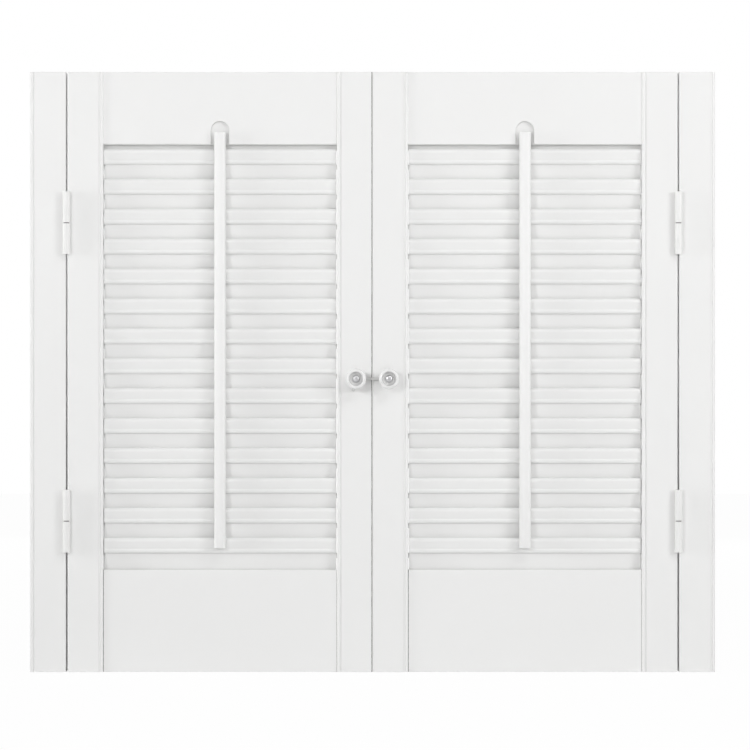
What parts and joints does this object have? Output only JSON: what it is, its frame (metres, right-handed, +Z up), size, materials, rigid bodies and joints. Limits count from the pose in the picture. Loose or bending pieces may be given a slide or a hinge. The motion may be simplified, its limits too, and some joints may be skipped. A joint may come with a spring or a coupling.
{
  "type": "louvred shutters",
  "caption": "White louvred interior shutters hinged on hanging strips, with tilt rods that turn the louvres, lift-off hinges, knobs and a hook latch.",
  "frame": {"origin": "middle of the bottom edge: midway between the strips' outer faces, and midway in depth from the knobs' fronts to the boards' backs", "axes": "+X to the viewer's right along the width, +Y away from the viewer, +Z up"},
  "size_m": [0.5802, 0.035, 0.508],
  "materials": {
    "painted_wood": "satin white paint",
    "dowel_wood": "natural",
    "hinge_enamel": "white enamel",
    "hook_enamel": "white enamel",
    "staple_wire": "painted over",
    "dark_steel": "oiled, dark",
    "bright_steel": "plated",
    "knob_gloss": "gloss white paint"
  },
  "bodies": {
    "frame": {"left_hanging_strip": "painted_wood", "right_hanging_strip": "painted_wood", "left_strip_hinge_leaves": "hinge_enamel", "right_strip_hinge_leaves": "hinge_enamel", "hinge_pins": "bright_steel", "hinge_washers": "dark_steel", "strip_hinge_screws": "bright_steel"},
    "left_panel": {"left_panel_hinge_leaves": "hinge_enamel", "left_panel_hinge_screws": "bright_steel", "left_outer_stile": "painted_wood", "left_inner_stile": "painted_wood", "left_top_rail": "painted_wood", "left_bottom_rail": "painted_wood", "left_panel_dowels": "dowel_wood", "left_knob": "knob_gloss", "left_knob_screw": "bright_steel"},
    "left_rod": {"left_tilt_rod": "painted_wood", "left_rod_staples": "staple_wire"},
    "left_louvre_07": {"left_louvre_07": "painted_wood"},
    "left_louvre_01": {"left_louvre_01": "painted_wood"},
    "left_louvre_02": {"left_louvre_02": "painted_wood"},
    "left_louvre_03": {"left_louvre_03": "painted_wood"},
    "left_louvre_04": {"left_louvre_04": "painted_wood"},
    "left_louvre_05": {"left_louvre_05": "painted_wood"},
    "left_louvre_06": {"left_louvre_06": "painted_wood"},
    "left_louvre_08": {"left_louvre_08": "painted_wood"},
    "left_louvre_09": {"left_louvre_09": "painted_wood"},
    "left_louvre_10": {"left_louvre_10": "painted_wood"},
    "left_louvre_11": {"left_louvre_11": "painted_wood"},
    "left_louvre_12": {"left_louvre_12": "painted_wood"},
    "left_louvre_13": {"left_louvre_13": "painted_wood"},
    "left_louvre_14": {"left_louvre_14": "painted_wood"},
    "right_panel": {"right_panel_hinge_leaves": "hinge_enamel", "right_panel_hinge_screws": "bright_steel", "right_outer_stile": "painted_wood", "right_inner_stile": "painted_wood", "right_top_rail": "painted_wood", "right_bottom_rail": "painted_wood", "right_panel_dowels": "dowel_wood", "right_knob": "knob_gloss", "right_knob_screw": "bright_steel"},
    "right_rod": {"right_tilt_rod": "painted_wood", "right_rod_staples": "staple_wire"},
    "right_louvre_07": {"right_louvre_07": "painted_wood"},
    "right_louvre_01": {"right_louvre_01": "painted_wood"},
    "right_louvre_02": {"right_louvre_02": "painted_wood"},
    "right_louvre_03": {"right_louvre_03": "painted_wood"},
    "right_louvre_04": {"right_louvre_04": "painted_wood"},
    "right_louvre_05": {"right_louvre_05": "painted_wood"},
    "right_louvre_06": {"right_louvre_06": "painted_wood"},
    "right_louvre_08": {"right_louvre_08": "painted_wood"},
    "right_louvre_09": {"right_louvre_09": "painted_wood"},
    "right_louvre_10": {"right_louvre_10": "painted_wood"},
    "right_louvre_11": {"right_louvre_11": "painted_wood"},
    "right_louvre_12": {"right_louvre_12": "painted_wood"},
    "right_louvre_13": {"right_louvre_13": "painted_wood"},
    "right_louvre_14": {"right_louvre_14": "painted_wood"},
    "hook": {"hook": "hook_enamel"}
  },
  "joints": [
    {"name": "left_swing", "type": "hinge", "parent": "frame", "child": "left_panel", "pos_m": [-0.2589, -0.005, 0.254], "axis": [0, 0, -1], "range_deg": [0, 170]},
    {"name": "left_louvre_tilt", "type": "hinge", "parent": "left_panel", "child": "left_louvre_07", "pos_m": [-0.12915, 0.008, 0.27576], "axis": [1, 0, 0], "range_deg": [0, 110]},
    {"name": "left_louvre_01_tilt", "type": "hinge", "parent": "left_panel", "child": "left_louvre_01", "pos_m": [-0.12915, 0.008, 0.42792], "axis": [1, 0, 0], "range_deg": [0, 110]},
    {"name": "left_louvre_02_tilt", "type": "hinge", "parent": "left_panel", "child": "left_louvre_02", "pos_m": [-0.12915, 0.008, 0.40256], "axis": [1, 0, 0], "range_deg": [0, 110]},
    {"name": "left_louvre_03_tilt", "type": "hinge", "parent": "left_panel", "child": "left_louvre_03", "pos_m": [-0.12915, 0.008, 0.3772], "axis": [1, 0, 0], "range_deg": [0, 110]},
    {"name": "left_louvre_04_tilt", "type": "hinge", "parent": "left_panel", "child": "left_louvre_04", "pos_m": [-0.12915, 0.008, 0.35184], "axis": [1, 0, 0], "range_deg": [0, 110]},
    {"name": "left_louvre_05_tilt", "type": "hinge", "parent": "left_panel", "child": "left_louvre_05", "pos_m": [-0.12915, 0.008, 0.32648], "axis": [1, 0, 0], "range_deg": [0, 110]},
    {"name": "left_louvre_06_tilt", "type": "hinge", "parent": "left_panel", "child": "left_louvre_06", "pos_m": [-0.12915, 0.008, 0.30112], "axis": [1, 0, 0], "range_deg": [0, 110]},
    {"name": "left_louvre_08_tilt", "type": "hinge", "parent": "left_panel", "child": "left_louvre_08", "pos_m": [-0.12915, 0.008, 0.25039], "axis": [1, 0, 0], "range_deg": [0, 110]},
    {"name": "left_louvre_09_tilt", "type": "hinge", "parent": "left_panel", "child": "left_louvre_09", "pos_m": [-0.12915, 0.008, 0.22503], "axis": [1, 0, 0], "range_deg": [0, 110]},
    {"name": "left_louvre_10_tilt", "type": "hinge", "parent": "left_panel", "child": "left_louvre_10", "pos_m": [-0.12915, 0.008, 0.19967], "axis": [1, 0, 0], "range_deg": [0, 110]},
    {"name": "left_louvre_11_tilt", "type": "hinge", "parent": "left_panel", "child": "left_louvre_11", "pos_m": [-0.12915, 0.008, 0.17431], "axis": [1, 0, 0], "range_deg": [0, 110]},
    {"name": "left_louvre_12_tilt", "type": "hinge", "parent": "left_panel", "child": "left_louvre_12", "pos_m": [-0.12915, 0.008, 0.14895], "axis": [1, 0, 0], "range_deg": [0, 110]},
    {"name": "left_louvre_13_tilt", "type": "hinge", "parent": "left_panel", "child": "left_louvre_13", "pos_m": [-0.12915, 0.008, 0.12359], "axis": [1, 0, 0], "range_deg": [0, 110]},
    {"name": "left_louvre_14_tilt", "type": "hinge", "parent": "left_panel", "child": "left_louvre_14", "pos_m": [-0.12915, 0.008, 0.09823], "axis": [1, 0, 0], "range_deg": [0, 110]},
    {"name": "left_rod_link", "type": "hinge", "parent": "left_louvre_07", "child": "left_rod", "pos_m": [-0.12915, 0.00314, 0.29349], "axis": [1, 0, 0], "range_deg": [-110, 0]},
    {"name": "right_swing", "type": "hinge", "parent": "frame", "child": "right_panel", "pos_m": [0.2589, -0.005, 0.254], "axis": [0, 0, 1], "range_deg": [0, 170]},
    {"name": "right_louvre_tilt", "type": "hinge", "parent": "right_panel", "child": "right_louvre_07", "pos_m": [0.12915, 0.008, 0.27576], "axis": [1, 0, 0], "range_deg": [0, 110]},
    {"name": "right_louvre_01_tilt", "type": "hinge", "parent": "right_panel", "child": "right_louvre_01", "pos_m": [0.12915, 0.008, 0.42792], "axis": [1, 0, 0], "range_deg": [0, 110]},
    {"name": "right_louvre_02_tilt", "type": "hinge", "parent": "right_panel", "child": "right_louvre_02", "pos_m": [0.12915, 0.008, 0.40256], "axis": [1, 0, 0], "range_deg": [0, 110]},
    {"name": "right_louvre_03_tilt", "type": "hinge", "parent": "right_panel", "child": "right_louvre_03", "pos_m": [0.12915, 0.008, 0.3772], "axis": [1, 0, 0], "range_deg": [0, 110]},
    {"name": "right_louvre_04_tilt", "type": "hinge", "parent": "right_panel", "child": "right_louvre_04", "pos_m": [0.12915, 0.008, 0.35184], "axis": [1, 0, 0], "range_deg": [0, 110]},
    {"name": "right_louvre_05_tilt", "type": "hinge", "parent": "right_panel", "child": "right_louvre_05", "pos_m": [0.12915, 0.008, 0.32648], "axis": [1, 0, 0], "range_deg": [0, 110]},
    {"name": "right_louvre_06_tilt", "type": "hinge", "parent": "right_panel", "child": "right_louvre_06", "pos_m": [0.12915, 0.008, 0.30112], "axis": [1, 0, 0], "range_deg": [0, 110]},
    {"name": "right_louvre_08_tilt", "type": "hinge", "parent": "right_panel", "child": "right_louvre_08", "pos_m": [0.12915, 0.008, 0.25039], "axis": [1, 0, 0], "range_deg": [0, 110]},
    {"name": "right_louvre_09_tilt", "type": "hinge", "parent": "right_panel", "child": "right_louvre_09", "pos_m": [0.12915, 0.008, 0.22503], "axis": [1, 0, 0], "range_deg": [0, 110]},
    {"name": "right_louvre_10_tilt", "type": "hinge", "parent": "right_panel", "child": "right_louvre_10", "pos_m": [0.12915, 0.008, 0.19967], "axis": [1, 0, 0], "range_deg": [0, 110]},
    {"name": "right_louvre_11_tilt", "type": "hinge", "parent": "right_panel", "child": "right_louvre_11", "pos_m": [0.12915, 0.008, 0.17431], "axis": [1, 0, 0], "range_deg": [0, 110]},
    {"name": "right_louvre_12_tilt", "type": "hinge", "parent": "right_panel", "child": "right_louvre_12", "pos_m": [0.12915, 0.008, 0.14895], "axis": [1, 0, 0], "range_deg": [0, 110]},
    {"name": "right_louvre_13_tilt", "type": "hinge", "parent": "right_panel", "child": "right_louvre_13", "pos_m": [0.12915, 0.008, 0.12359], "axis": [1, 0, 0], "range_deg": [0, 110]},
    {"name": "right_louvre_14_tilt", "type": "hinge", "parent": "right_panel", "child": "right_louvre_14", "pos_m": [0.12915, 0.008, 0.09823], "axis": [1, 0, 0], "range_deg": [0, 110]},
    {"name": "right_rod_link", "type": "hinge", "parent": "right_louvre_07", "child": "right_rod", "pos_m": [0.12915, 0.00314, 0.29349], "axis": [1, 0, 0], "range_deg": [-110, 0]},
    {"name": "hook_lift", "type": "hinge", "parent": "left_panel", "child": "hook", "pos_m": [-0.01395, -0.0015, 0.2482], "axis": [0, -1, 0], "range_deg": [0, 105]}
  ],
  "couplings": [
    {"joint": "left_louvre_01_tilt", "follows": "left_louvre_tilt", "ratio": 1},
    {"joint": "left_louvre_02_tilt", "follows": "left_louvre_tilt", "ratio": 1},
    {"joint": "left_louvre_03_tilt", "follows": "left_louvre_tilt", "ratio": 1},
    {"joint": "left_louvre_04_tilt", "follows": "left_louvre_tilt", "ratio": 1},
    {"joint": "left_louvre_05_tilt", "follows": "left_louvre_tilt", "ratio": 1},
    {"joint": "left_louvre_06_tilt", "follows": "left_louvre_tilt", "ratio": 1},
    {"joint": "left_louvre_08_tilt", "follows": "left_louvre_tilt", "ratio": 1},
    {"joint": "left_louvre_09_tilt", "follows": "left_louvre_tilt", "ratio": 1},
    {"joint": "left_louvre_10_tilt", "follows": "left_louvre_tilt", "ratio": 1},
    {"joint": "left_louvre_11_tilt", "follows": "left_louvre_tilt", "ratio": 1},
    {"joint": "left_louvre_12_tilt", "follows": "left_louvre_tilt", "ratio": 1},
    {"joint": "left_louvre_13_tilt", "follows": "left_louvre_tilt", "ratio": 1},
    {"joint": "left_louvre_14_tilt", "follows": "left_louvre_tilt", "ratio": 1},
    {"joint": "left_rod_link", "follows": "left_louvre_tilt", "ratio": -1},
    {"joint": "right_louvre_01_tilt", "follows": "right_louvre_tilt", "ratio": 1},
    {"joint": "right_louvre_02_tilt", "follows": "right_louvre_tilt", "ratio": 1},
    {"joint": "right_louvre_03_tilt", "follows": "right_louvre_tilt", "ratio": 1},
    {"joint": "right_louvre_04_tilt", "follows": "right_louvre_tilt", "ratio": 1},
    {"joint": "right_louvre_05_tilt", "follows": "right_louvre_tilt", "ratio": 1},
    {"joint": "right_louvre_06_tilt", "follows": "right_louvre_tilt", "ratio": 1},
    {"joint": "right_louvre_08_tilt", "follows": "right_louvre_tilt", "ratio": 1},
    {"joint": "right_louvre_09_tilt", "follows": "right_louvre_tilt", "ratio": 1},
    {"joint": "right_louvre_10_tilt", "follows": "right_louvre_tilt", "ratio": 1},
    {"joint": "right_louvre_11_tilt", "follows": "right_louvre_tilt", "ratio": 1},
    {"joint": "right_louvre_12_tilt", "follows": "right_louvre_tilt", "ratio": 1},
    {"joint": "right_louvre_13_tilt", "follows": "right_louvre_tilt", "ratio": 1},
    {"joint": "right_louvre_14_tilt", "follows": "right_louvre_tilt", "ratio": 1},
    {"joint": "right_rod_link", "follows": "right_louvre_tilt", "ratio": -1}
  ]
}
